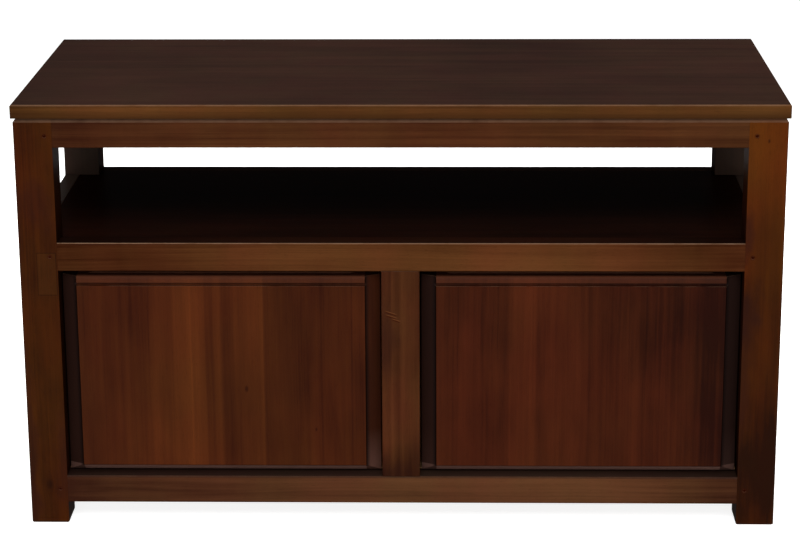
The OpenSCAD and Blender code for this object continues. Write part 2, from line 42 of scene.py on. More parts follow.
# Tone of the wood along a piece, as (place from 0 to 1, tone from 0 dark to 1 pale).
EVEN = ((0.0, 0.5), (1.0, 0.5))
RIM_RUN = ((0.0, 0.2), (0.12, 0.58), (0.35, 0.54), (0.52, 0.54), (0.6, 0.34), (0.72, 0.4), (0.8, 0.56), (1.0, 0.62))
TOP_RAIL_RUN = (
    (0.0, 0.0), (0.11, 0.2), (0.22, 0.46), (0.36, 0.32), (0.5, 0.38), (0.63, 0.5), (0.77, 0.32), (0.9, 0.36),
    (1.0, 0.46))
# The pale middles of the middle and the bottom rail are partly the wood's tone and partly a painted sheen.
MIDDLE_RAIL_RUN = (
    (0.0, 0.2), (0.11, 0.2), (0.22, 0.66), (0.36, 0.86), (0.5, 0.78), (0.64, 0.92), (0.77, 0.84), (0.9, 0.34),
    (0.94, 0.18), (1.0, 0.16))
BOTTOM_RAIL_RUN = (
    (0.0, 0.0), (0.11, 0.34), (0.3, 0.54), (0.55, 0.92), (0.72, 0.96), (0.9, 0.5), (0.94, 0.26), (1.0, 0.1))
STILE_RUN = ((0.0, 0.0), (0.07, 0.1), (0.2, 0.62), (0.4, 0.6), (0.58, 0.38), (0.78, 0.4), (1.0, 0.32))
LEFT_LEG_RUN = (
    (0.0, 0.3), (0.07, 0.36), (0.16, 0.3), (0.25, 0.32), (0.49, 0.28), (0.62, 0.16), (0.73, 0.2), (0.85, 0.4),
    (1.0, 0.42))
RIGHT_LEG_RUN = (
    (0.0, 0.28), (0.08, 0.14), (0.16, 0.1), (0.25, 0.14), (0.37, 0.3), (0.48, 0.28), (0.56, 0.3), (0.63, 0.48),
    (0.72, 0.58), (0.8, 0.8), (0.88, 0.9), (1.0, 0.92))
FRONT_RUN = ((0.0, 0.64), (0.12, 0.56), (0.3, 0.49), (1.0, 0.46))

# Tone of the staves across the stile and each drawer front, from the left edge to the right.
STILE_STAVES = ((0.0, 0.36), (0.22, 0.34), (0.28, 0.54), (0.4, 0.4), (0.46, 0.34), (0.54, 0.64), (1.0, 0.56))
LEFT_FRONT_STAVES = (
    (0.0, 0.16), (0.08, 0.22), (0.2, 0.38), (0.205, 0.34), (0.27, 0.42), (0.29, 0.7), (0.31, 0.48), (0.345, 0.56),
    (0.356, 0.66), (0.4, 0.82), (0.446, 0.6), (0.45, 0.34), (0.47, 0.36), (0.49, 0.74), (0.505, 0.3),
    (0.534, 0.38), (0.541, 0.47), (0.63, 0.55), (0.634, 0.21), (0.81, 0.22), (0.815, 0.1), (0.82, 0.3),
    (0.905, 0.32), (0.91, 0.12), (0.915, 0.3), (1.0, 0.34),
)
# The last staves darken the right end of the right drawer front: a painted shade.
RIGHT_FRONT_STAVES = (
    (0.0, 0.3), (0.12, 0.36), (0.2, 0.38), (0.204, 0.33), (0.275, 0.33), (0.28, 0.5), (0.358, 0.58),
    (0.367, 0.36), (0.4, 0.4), (0.404, 0.5), (0.5, 0.42), (0.506, 0.36), (0.66, 0.32), (0.67, 0.44),
    (0.688, 0.3), (0.75, 0.24), (0.76, 0.3), (0.785, 0.28), (0.795, 0.16), (0.87, 0.14), (0.91, 0.04), (1.0, 0.02),
)

# Flaws and marks of use, placed on the front of the stand in metres.
# A knot is (x, z, radius), and a patch let into the wood (low x, high x, low z, high z).
LEFT_LEG_KNOTS = ((-0.471, 0.055, 0.004),)
RIGHT_LEG_KNOTS = ((0.473, 0.527, 0.0018),)
LEFT_FRONT_KNOTS = ((-0.205, 0.188, 0.003), (-0.113, 0.131, 0.0016))
LEFT_LEG_PATCH = (-0.4745, -0.4495, 0.320, 0.377)
# A smudge is (x, z, half width, half height, depth), and a scratch (x, z, length).
LEFT_LEG_SMUDGES = (
    (-0.474, 0.44, 0.03, 0.04, 0.4), (-0.497, 0.12, 0.015, 0.14, 0.5), (-0.497, 0.03, 0.02, 0.05, 0.5),
    (-0.449, 0.09, 0.014, 0.1, 0.5))
RIGHT_LEG_SMUDGES = (
    (0.446, 0.4, 0.02, 0.04, 0.6), (0.448, 0.3, 0.026, 0.045, 0.75), (0.447, 0.2, 0.018, 0.12, 0.5))
STILE_SMUDGES = (
    (-0.021, 0.262, 0.018, 0.06, 0.5), (-0.014, 0.07, 0.03, 0.03, 0.5), (0.022, 0.095, 0.018, 0.04, 0.35))
STILE_SCRATCHES = ((-0.0125, 0.2965, 0.018), (-0.0115, 0.2915, 0.018), (-0.0055, 0.2865, 0.013))
SCRATCH_SLANT = math.radians(-18.0)
SCRATCH_WIDTH = 0.0009

# The pegs in the front legs: their distance from the middle, their heights, and the radius and depth of the stain
# that has run into the wood round them.
PEG_X = 0.4575
PEG_HEIGHTS = (0.049, 0.372, 0.5335)
PEG_HALO = (0.0042, 0.75)

# Shape of a drawer front, from its left edge, its face and its lower edge, in metres.
FIELD_SIDE = 0.0199
FIELD_FOOT = 0.0098
BEVEL_DEPTHS = (0.0007, 0.0230)
STEP_DEPTHS = (0.0032, 0.0058)
GROOVE_HEIGHTS = (0.2602, 0.2642)
EDGE_FADE = 0.0002

# Where a drawer front is rubbed and painted paler: how far under the top of the lip the painted light that lifts
# the rail's shadow starts and is strongest, the same above the lower edge for the painted highlight at the lower
# ends of the bevels, and the places across between which the left side's glaze turns into the right side's.
LIP_RUB_AND_LIGHT = (0.003, 0.0005)
FOOT_HIGHLIGHT = (0.06, 0.008)
MIDDLE = (0.4, 0.6)

# Distances from the middle of the stand between which the outer corners of the legs begin.
CORNER_X = (0.488, 0.492)
CORNER_Y = (0.214, 0.218)

# Scales of the noises, in waves per metre along X, Y and Z; in the grain itself Z runs along the fibres.
DRIFT_SCALE = (5.0, 5.0, 0.8)
RIPPLE_SCALE = (26.0, 26.0, 7.0)
RING_SCALE = (14.0, 14.0, 2.0)
CLOUD_SCALE = (11.0, 11.0, 4.5)
STAVE_SCALE = (3.0, 3.0, 1.5)
BLOTCH_SCALE = (38.0, 38.0, 13.0)
HUE_SCALE = (15.0, 15.0, 8.0)
SMUDGE_SCALE = (60.0, 60.0, 30.0)
RUB_SCALE = (45.0, 45.0, 45.0)
TURNING_SCALE = (1500.0, 1500.0, 5000.0)
DULL_SCALE = (300.0, 300.0, 300.0)

# Shares of the rings, streaks and ribbons in the figure, and of the finer marks in the tone.
RING_SHARE, STREAK_SHARE, RIBBON_SHARE = 0.16, 0.38, 0.46
LINE_SHARE = 0.3
FIBRE_SHARE = 0.2
CLOUD_SHARE = 0.32
PORE_SHARE = 0.22
STAVE_BEND = 0.012

# Cosines between which a face turns from steep to straight up, or from aslant to square on.
NEARLY, SQUARE = 0.9, 0.98


def linear(rgb):
    """Turns a colour written as it looks, from 0 to 255, into the linear values that a shader takes."""
    return tuple(c / 255 / 12.92 if c <= 10 else ((c / 255 + 0.055) / 1.055) ** 2.4 for c in rgb)


def stain(name, description, rgb):
    """A colour that the user may change, with its default written as it looks."""
    return FloatVectorProperty(
        name=name, description=description, default=linear(rgb), size=3, min=0.0, max=1.0, subtype="COLOR")


def share(name, description, value):
    """A share from 0 to 1 that the user may change."""
    return FloatProperty(name=name, description=description, default=value, min=0.0, max=1.0, subtype="FACTOR")


def span(name, description, value, least=0.0):
    """A length in metres that the user may change."""
    return FloatProperty(
        name=name, description=description, default=value, min=least, precision=4, subtype="DISTANCE", unit="LENGTH")


def turn(name, description, degrees):
    """An angle that the user may change, with its default in degrees."""
    return FloatProperty(name=name, description=description, default=math.radians(degrees), subtype="ANGLE")


class StandStains(PropertyGroup):
    """Colours of the stains, the glaze, the bare wood and the screws; some of them also hold painted shade, sheen,
    highlights and reflections, as noted beside them.
    """

    # The top face is painted darker and greyer than the rim: a painted shade and sheen on a face that looks up.
    top_shade_sheen_dark: stain("Top, dark", "Dark grain of the top board", (38, 22, 17))
    top_shade_sheen_pale: stain("Top, pale", "Pale grain of the top board", (60, 38, 29))
    rim_dark: stain("Rim, dark", "Dark grain on the edges of the top board", (52, 29, 11))
    rim_pale: stain("Rim, pale", "Pale grain on the edges of the top board", (102, 64, 32))
    # The rubbed colour is also a painted highlight on the edges and slopes that face the light from above.
    rubbed: stain("Rubbed edges", "Colour where the stain is rubbed off", (124, 96, 76))
    warm: stain("Warm patches", "Tint of the redder patches", (255, 236, 238))
    cool: stain("Cool patches", "Tint of the browner patches", (244, 254, 236))
    frame_dark: stain("Frame, dark", "Dark grain of the rails", (50, 22, 9))
    frame_pale: stain("Frame, pale", "Pale grain of the rails", (97, 58, 32))
    bottom_dark: stain("Bottom rail, dark", "Dark grain of the bottom rail's worn front", (51, 25, 14))
    bottom_pale: stain("Bottom rail, pale", "Pale grain of the bottom rail's worn front", (99, 62, 39))
    stile_dark: stain("Stile, dark", "Dark grain of the stile between the drawers", (48, 20, 9))
    stile_pale: stain("Stile, pale", "Pale grain of the stile between the drawers", (92, 50, 28))
    leg_dark: stain("Legs, dark", "Dark grain of the legs", (34, 13, 4))
    leg_pale: stain("Legs, pale", "Pale grain of the legs", (88, 42, 10))
    # The rear legs are painted darker and greyer than the front ones: a painted shade and sheen.
    rear_shade_dark: stain("Rear legs, dark", "Dark grain of the rear legs", (34, 18, 10))
    rear_shade_pale: stain("Rear legs, pale", "Pale grain of the rear legs", (74, 42, 25))
    front_dark: stain("Left drawer, dark", "Dark grain of the left drawer front", (46, 17, 8))
    front_pale: stain("Left drawer, pale", "Pale grain of the left drawer front", (93, 47, 21))
    right_dark: stain("Right drawer, dark", "Dark grain of the right drawer front", (35, 12, 6))
    right_pale: stain("Right drawer, pale", "Pale grain of the right drawer front", (92, 42, 22))
    # Partly settled grey dirt, partly a painted sheen and shade on the fronts of the rear legs.
    dust_and_sheen: stain("Dust", "Grey dust on the fronts of the rear legs", (42, 41, 38))
    smudge: stain("Smudges", "Dark smudges beside the joints of the legs and the stile", (40, 17, 11))
    peg_stain: stain("Peg stain", "Stain that has run into the wood round the pegs", (50, 12, 1))
    bevel_glaze: stain("Bevel glaze", "Dark glaze in the bevels and the groove of the drawer fronts", (32, 20, 17))
    # Besides the rubbing of hands, the lip's colour is painted light that lifts the rail's shadow on its top.
    lip: stain("Lip", "Finger lip of the drawer fronts, rubbed by hands", (90, 52, 37))
    # A painted reflection: the lower bevel is painted pale and grey, as if it mirrored the lamps.
    lower_bevel_reflection: stain("Lower bevel", "Thin, rubbed glaze on the lower bevel of the drawer fronts", (126, 92, 82))
    # The shelf is painted much darker than the frame: a painted shade under the top.
    shelf_shade_dark: stain("Shelf, dark", "Dark grain of the shelf board", (24, 11, 7))
    shelf_shade_pale: stain("Shelf, pale", "Pale grain of the shelf board", (44, 22, 14))
    deck_dark: stain("Dusty ledges, dark", "Dark grain on the dusty upper faces of the rails", (34, 26, 23))
    deck_pale: stain("Dusty ledges, pale", "Pale grain on the dusty upper faces of the rails", (50, 40, 35))
    # The ledge under the drawers is greyed: partly settled grey dirt, partly a painted sheen.
    foot_dust_sheen_dark: stain("Lower ledge, dark", "Dark grain on the ledge under the drawers", (38, 25, 21))
    foot_dust_sheen_pale: stain("Lower ledge, pale", "Pale grain on the ledge under the drawers", (54, 38, 32))
    panel_dark: stain("Panels, dark", "Dark grain of the side and back panels", (46, 22, 11))
    panel_pale: stain("Panels, pale", "Pale grain of the side and back panels", (78, 42, 22))
    bare_dark: stain("Bare wood, dark", "Dark grain of the unstained drawer boxes and runners", (128, 92, 62))
    bare_pale: stain("Bare wood, pale", "Pale grain of the unstained drawer boxes and runners", (184, 148, 108))
    peg: stain("Pegs", "End grain of the pegs", (34, 8, 2))
    peg_pale: stain("Pegs, pale", "Paler rings of the pegs", (56, 16, 4))
    screw: stain("Screws", "Zinc plating of the screws", (196, 196, 192))


class StandGrain(PropertyGroup):
    """Sizes of the wood's figure, and how the lacquer lies on it."""

    ring_gap: span("Growth rings", "Distance between two growth rings", 0.0042, 0.0005)
    streak_gap: span("Streaks", "Width of a streak of colour", 0.0066, 0.0005)
    line_gap: span("Lines", "Width of the narrow dark and pale lines", 0.0031, 0.0002)
    fibre_gap: span("Fibres", "Width of a fibre", 0.0011, 0.0001)
    pore_width: span("Pore width", "Width of an open pore", 0.0006, 0.0001)
    pore_length: span("Pore length", "Length of an open pore", 0.009, 0.001)
    wander: span("Wander", "How far the grain bends from a straight line", 0.006)
    # The stain rubbed from the edges and the chamfers is partly wear and partly a painted highlight.
    wear_width: span("Wear width", "Width of the rubbed stain along the edges", 0.0013, 0.0001)
    wear: share("Wear", "How much stain is rubbed away along the edges", 0.5)
    bevel_wear: share("Bevel wear", "How much stain is rubbed away on the chamfers", 0.42)
    relief: span("Relief", "Depth of the pores and fibres in the lacquer", 0.00012)
    lacquer_roughness: share("Lacquer roughness", "Roughness of the satin lacquer", 0.34)
    wood_roughness: share("Wood roughness", "Roughness of the wood under the lacquer", 0.5)
    top_lacquer: share("Lacquer, top", "Thickness of the lacquer on the top board", 0.03)
    frame_lacquer: share("Lacquer, frame", "Thickness of the lacquer on the frame and drawer fronts", 0.04)
    shelf_lacquer: share("Lacquer, shelf", "Thickness of the lacquer on the shelf", 0.006)


class StandStudio(PropertyGroup):
    """The plain floor, the lamps and the camera."""

    floor_size: span("Floor", "Side of the square floor", 60.0, 4.0)
    floor_colour: stain("Floor colour", "Colour of the floor", (228, 228, 228))
    floor_glow: share("Floor glow", "White that the floor adds for the camera", 0.84)
    ambient: share("Ambient", "Soft light from all round", 0.2)
    lamp_level: FloatProperty(name="Lamps", description="Level of all the lamps together", default=1.0, min=0.0)
    camera_place: FloatVectorProperty(
        name="Camera place", description="Where the camera stands", default=(0.073, -3.286, 1.242),
        subtype="TRANSLATION")
    camera_turn: turn("Camera turn", "Turn of the camera to the left", 1.37)
    camera_dip: turn("Camera dip", "How far the camera looks down", 16.32)
    camera_roll: turn("Camera roll", "Roll of the camera", -0.31)
    lens: FloatProperty(
        name="Lens", description="Focal length on a 36 mm sensor", default=110.2, min=10.0,
        subtype="DISTANCE_CAMERA")


# Each lamp's place, the point that it faces, its width and height in metres, its level and its spread in degrees.
# The three low ones face the floor, which throws their light back on the sides and the back of the stand.
LAMPS = {
    "front_lamp": ((0.1, -3.3, 2.8), (0.0, 0.0, 0.3), 3.6, 1.5, 0.52, 180.0),
    "fill_lamp": ((0.1, -4.2, 0.95), (0.0, 0.0, 0.3), 3.6, 1.2, 0.2, 180.0),
    "overhead_lamp": ((0.0, 0.0, 3.2), (0.0, 0.0, 0.3), 2.4, 2.0, 0.5, 180.0),
    "left_lamp": ((-1.5, 0.1, 1.5), (-1.5, 0.1, 0.0), 1.0, 1.6, 0.8, 70.0),
    "right_lamp": ((1.5, 0.1, 1.5), (1.5, 0.1, 0.0), 1.0, 1.6, 0.8, 70.0),
    "back_lamp": ((0.0, 1.35, 1.5), (0.0, 1.35, 0.0), 1.6, 1.0, 0.8, 70.0),
}


class Tree:
    """Adds nodes to a node tree; an input is a number, a colour or another node's output."""

    def __init__(self, tree):
        self.nodes = tree.nodes
        self.links = tree.links

    def add(self, kind, inputs=None, **settings):
        node = self.nodes.new(kind)
        for name, value in settings.items():
            setattr(node, name, value)
        for key, value in (inputs or {}).items():
            if isinstance(value, NodeSocket):
                self.links.new(value, node.inputs[key])
            else:
                node.inputs[key].default_value = value
        return node

    def math(self, operation, a, b=0.0, clamp=False):
        return self.add("ShaderNodeMath", {0: a, 1: b}, operation=operation, use_clamp=clamp).outputs[0]

    def vector(self, operation, a, b=(0.0, 0.0, 0.0)):
        return self.add("ShaderNodeVectorMath", {0: a, 1: b}, operation=operation).outputs[0]

    def measure(self, operation, a, b=(0.0, 0.0, 0.0)):
        """A vector operation whose result is a number."""
        return self.add("ShaderNodeVectorMath", {0: a, 1: b}, operation=operation).outputs["Value"]

    def split(self, vector):
        return self.add("ShaderNodeSeparateXYZ", {0: vector}).outputs

    def stretch(self, place, scale):
        return self.vector("MULTIPLY", place, scale)

    def noise(self, place, scale, detail=2.0, roughness=0.5):
        return self.add(
            "ShaderNodeTexNoise",
            {"Vector": self.stretch(place, scale), "Scale": 1.0, "Detail": detail, "Roughness": roughness})

    def limit(self, value, low, high, new_low=0.0, new_high=1.0, kind="LINEAR"):
        inputs = {0: value, 1: low, 2: high, 3: new_low, 4: new_high}
        return self.add("ShaderNodeMapRange", inputs, interpolation_type=kind).outputs[0]

    def within(self, value, least, most):
        """1 where a value lies between two others, and 0 elsewhere."""
        return self.math(
            "MULTIPLY", self.limit(value, least - EDGE_FADE, least + EDGE_FADE),
            self.limit(value, most - EDGE_FADE, most + EDGE_FADE, 1.0, 0.0))

    def vary(self, tone, value, strength, clamp=False):
        """Adds to a tone by how far a value from 0 to 1 lies from its middle."""
        apart = self.math("SUBTRACT", value, 0.5)
        return self.math("ADD", tone, self.math("MULTIPLY", apart, strength), clamp)

    def blend(self, factor, a, b, kind="MIX"):
        return self.add("ShaderNodeMix", {0: factor, 6: a, 7: b}, data_type="RGBA", blend_type=kind).outputs[2]

    def ramp(self, factor, stops):
        node = self.add("ShaderNodeValToRGB", {0: factor})
        points = node.color_ramp.elements
        while len(points) < len(stops):
            points.new(0.5)
        for point, (place, _) in zip(points, stops):
            point.position = place
        for point, (_, tone) in zip(points, stops):
            point.color = (tone, tone, tone, 1.0)
        return node.outputs[0]


def cleared(owner):
    """Removes the nodes of a material or a world, and gives the tree for new ones."""
    owner.use_nodes = True
    owner.node_tree.nodes.clear()
    return Tree(owner.node_tree)


def opaque(colour):
    """A colour with its alpha, for a colour socket."""
    return (*tuple(colour), 1.0)


def darkened(colour, part):
    """A part of a colour's light, for a colour socket."""
    return opaque(part * Vector(colour))


def chosen_stains():
    """The stains, as the user has set them."""
    return bpy.context.scene.stand_stains


def build_grain(sizes):
    """The grain that all the wood shares, as a node group; it runs along Z and its input is in metres."""
    group = bpy.data.node_groups.new("mahogany_grain", "ShaderNodeTree")
    group.interface.new_socket("Place", in_out="INPUT", socket_type="NodeSocketVector")
    for name in ("Figure", "Lines", "Fibre", "Pores", "Cloud"):
        group.interface.new_socket(name, in_out="OUTPUT", socket_type="NodeSocketFloat")
    tree = Tree(group)
    place = tree.add("NodeGroupInput").outputs[0]
    bent = place
    for scale, reach in ((DRIFT_SCALE, 2 * sizes.wander), (RIPPLE_SCALE, 0.6 * sizes.wander)):
        push = tree.vector("SUBTRACT", tree.noise(place, scale).outputs["Color"], (0.5, 0.5, 0.5))
        bent = tree.vector("ADD", bent, tree.stretch(push, (reach, reach, 0.0)))

    from_pith = tree.measure("LENGTH", tree.stretch(bent, (1.0, 1.0, 0.0)))
    uneven = tree.math("MULTIPLY", tree.noise(place, RING_SCALE, 1.0).outputs[0], 9.0)
    ring_place = tree.math("ADD", tree.math("MULTIPLY", from_pith, 1 / sizes.ring_gap), uneven)
    rings = tree.add(
        "ShaderNodeTexNoise", {"W": ring_place, "Scale": 1.0, "Detail": 3.0, "Roughness": 0.6},
        noise_dimensions="1D").outputs[0]
    across = 1 / sizes.streak_gap
    streaks = tree.noise(bent, (across, across, 2.2), 3.0, 0.5).outputs[0]
    ribbons = tree.noise(bent, (across * 0.3, across * 0.3, 3.2), 2.0).outputs[0]
    figure = tree.math("ADD", tree.math("MULTIPLY", rings, RING_SHARE), tree.math("MULTIPLY", streaks, STREAK_SHARE))
    figure = tree.math("ADD", figure, tree.math("MULTIPLY", ribbons, RIBBON_SHARE))

    across = 1 / sizes.line_gap
    line = tree.noise(bent, (across, across, 1.1), 1.5, 0.5).outputs[0]
    dark_line, pale_line = tree.limit(line, 0.37, 0.27), tree.limit(line, 0.61, 0.71)

    across = 1 / sizes.fibre_gap
    fibre = tree.noise(bent, (across, across, 14.0), 3.0, 0.65).outputs[0]
    pore = (1 / sizes.pore_width, 1 / sizes.pore_width, 1 / sizes.pore_length)
    pores = tree.limit(tree.noise(bent, pore, 1.0).outputs[0], 0.6, 0.72)
    cloud = tree.noise(place, CLOUD_SCALE, 3.0, 0.55).outputs[0]
    tree.add("NodeGroupOutput", {
        "Figure": tree.limit(figure, 0.34, 0.66), "Lines": tree.math("SUBTRACT", dark_line, pale_line),
        "Fibre": fibre, "Pores": pores, "Cloud": tree.limit(cloud, 0.32, 0.68)})
    return group


def grain_group():
    """The shared grain, built the first time that a piece needs it."""
    return bpy.data.node_groups.get("mahogany_grain") or build_grain(bpy.context.scene.stand_grain)


def along_piece(tree, place, node, axis):
    """How far along one axis of a piece a point lies, from 0 to 1."""
    low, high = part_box(node)
    number = AXES.index(axis)
    return tree.limit(tree.split(place)[number], low[number], high[number])


def grain_place(tree, place, axis, seed):
    """Turns a place so that the grain's Z runs along the given axis, with its own pith for each piece."""
    apart = tree.split(place)
    order = {"X": (1, 2, 0), "Y": (0, 2, 1), "Z": (0, 1, 2)}[axis]
    turned = tree.add("ShaderNodeCombineXYZ", {n: apart[source] for n, source in enumerate(order)}).outputs[0]
    pith = (0.13 + 0.31 * math.sin(seed * 2.1), 0.3 + 0.07 * math.cos(seed * 3.7), 1.7 * seed)
    return tree.vector("ADD", turned, pith)


def from_knot(tree, place, knot):
    """How far a place lies from the middle of a knot that runs from front to back: the way and the distance."""
    x, z, _ = knot
    apart = tree.vector("MULTIPLY", tree.vector("SUBTRACT", place, (x, 0.0, z)), (1.0, 0.0, 0.55))
    return apart, tree.measure("LENGTH", apart)


def round_knots(tree, place, knots):
    """Bends the grain round each knot, most at its middle and not at all from four radii away."""
    for knot in knots:
        away, distance = from_knot(tree, place, knot)
        radius = knot[2]
        push = tree.limit(distance, 0.0, 4 * radius, 1.2 * radius, 0.0, "SMOOTHSTEP")
        inputs = {0: tree.vector("NORMALIZE", away), "Scale": push}
        moved = tree.add("ShaderNodeVectorMath", inputs, operation="SCALE").outputs[0]
        place = tree.vector("SUBTRACT", place, moved)
    return place


def dark_knots(tree, place, knots, colour, dark):
    """Darkens the middle of each knot."""
    for knot in knots:
        _, distance = from_knot(tree, place, knot)
        eye = tree.limit(distance, 0.2 * knot[2], 1.3 * knot[2], 0.7, 0.0, "SMOOTHSTEP")
        colour = tree.blend(eye, colour, darkened(dark, 0.6))
    return colour


def smudged(tree, place, smudges, colour, dirt, ragged=1.6):
    """Smudges of one colour of dirt, with more or less ragged edges."""
    uneven = tree.noise(place, SMUDGE_SCALE, 3.0).outputs[0]
    for x, z, wide, high, depth in smudges:
        away = tree.vector("MULTIPLY", tree.vector("SUBTRACT", place, (x, 0.0, z)), (1 / wide, 0.0, 1 / high))
        distance = tree.vary(tree.measure("LENGTH", away), uneven, ragged)
        colour = tree.blend(tree.limit(distance, 0.3, 1.1, depth, 0.0, "SMOOTHSTEP"), colour, opaque(dirt))
    return colour


def scratched(tree, place, scratches, colour, pale, dark):
    """Slanting scratches: a pale line with a dark one under it."""
    way = (math.cos(SCRATCH_SLANT), 0.0, math.sin(SCRATCH_SLANT))
    up = (-math.sin(SCRATCH_SLANT), 0.0, math.cos(SCRATCH_SLANT))
    for x, z, length in scratches:
        away = tree.vector("SUBTRACT", place, (x, 0.0, z))
        along = tree.math("ABSOLUTE", tree.measure("DOT_PRODUCT", away, way))
        across = tree.measure("DOT_PRODUCT", away, up)
        ends = tree.limit(along, 0.3 * length, 0.5 * length, 1.0, 0.0)
        for offset, line, depth in ((0.0, pale, 0.7), (1.8 * SCRATCH_WIDTH, dark, 0.9)):
            beside = tree.math("ABSOLUTE", tree.math("ADD", across, offset))
            near = tree.limit(beside, 0.4 * SCRATCH_WIDTH, SCRATCH_WIDTH, depth, 0.0)
            colour = tree.blend(tree.math("MULTIPLY", ends, near), colour, opaque(line))
    return colour


def let_in(tree, place, patch, colour, dark):
    """A patch let into the wood: a shade paler than its surroundings, with a dark glue line round it."""
    low_x, high_x, low_z, high_z = patch
    x, _, z = tree.split(place)
    across = tree.math("ABSOLUTE", tree.math("SUBTRACT", x, (low_x + high_x) / 2))
    along = tree.math("ABSOLUTE", tree.math("SUBTRACT", z, (low_z + high_z) / 2))
    outside = tree.math(
        "MAXIMUM", tree.math("SUBTRACT", across, (high_x - low_x) / 2),
        tree.math("SUBTRACT", along, (high_z - low_z) / 2))
    glue = 0.0005
    inside = tree.limit(outside, -glue, 0.0, 0.05, 0.0)
    line = tree.limit(tree.math("ABSOLUTE", outside), glue, 2 * glue, 0.4, 0.0)
    paler = tree.blend(inside, colour, opaque((0.16, 0.075, 0.02)))
    return tree.blend(line, paler, darkened(dark, 0.5))


def wood_tone(tree, place, grain, node, axis, run, staves, across, contrast, blotch):
    """Tone of the wood, from 0 dark to 1 pale: the piece's own run and staves, varied by the grain."""
    tone = tree.ramp(along_piece(tree, place, node, axis), run)
    if staves:
        bent = tree.noise(place, STAVE_SCALE).outputs[0]
        where = tree.vary(along_piece(tree, place, node, across), bent, STAVE_BEND)
        tone = tree.vary(tone, tree.ramp(where, staves), 1.0)
    tone = tree.vary(tone, grain["Figure"], contrast)
    tone = tree.math("ADD", tone, tree.math("MULTIPLY", grain["Lines"], LINE_SHARE * contrast))
    tone = tree.vary(tone, grain["Fibre"], FIBRE_SHARE)
    tone = tree.vary(tone, tree.noise(place, BLOTCH_SCALE, 3.0, 0.55).outputs[0], blotch)
    return tree.vary(tone, grain["Cloud"], CLOUD_SHARE, clamp=True)


def worn(tree, place, colour, flat, rounded, bevel_wear, corners):
    """Lightens the edges that catch light from above, and the faces that slope up, to the rubbed colour: partly worn
    stain, partly a painted highlight. The outer corners of the legs are lightened as wear alone.
    """
    upward = tree.split(flat)[2]
    edge = tree.limit(tree.measure("DOT_PRODUCT", rounded, flat), 0.995, 0.86, kind="SMOOTHSTEP")
    caught = tree.limit(tree.split(rounded)[2], 0.1, 0.45)
    caught = tree.math("MULTIPLY", caught, tree.limit(upward, SQUARE, NEARLY))
    if corners:
        beside = tree.split(tree.vector("ABSOLUTE", place))
        outer = tree.math("MULTIPLY", tree.limit(beside[0], *CORNER_X), tree.limit(beside[1], *CORNER_Y))
        caught = tree.math("MAXIMUM", caught, tree.math("MULTIPLY", outer, 0.5))
    edge = tree.math("MULTIPLY", edge, caught)
    patchy = tree.limit(tree.noise(place, RUB_SCALE, 3.0).outputs[0], 0.32, 0.56)
    rubbed = tree.math("MULTIPLY", tree.math("MULTIPLY", edge, patchy), bpy.context.scene.stand_grain.wear)
    sloped = tree.math("MULTIPLY", tree.limit(upward, 0.3, 0.45), tree.limit(upward, 0.9, 0.8))
    sloped = tree.math("MULTIPLY", sloped, tree.limit(patchy, 0.0, 1.0, 0.6 * bevel_wear, bevel_wear))
    return tree.blend(tree.math("MAXIMUM", rubbed, sloped), colour, opaque(chosen_stains().rubbed))


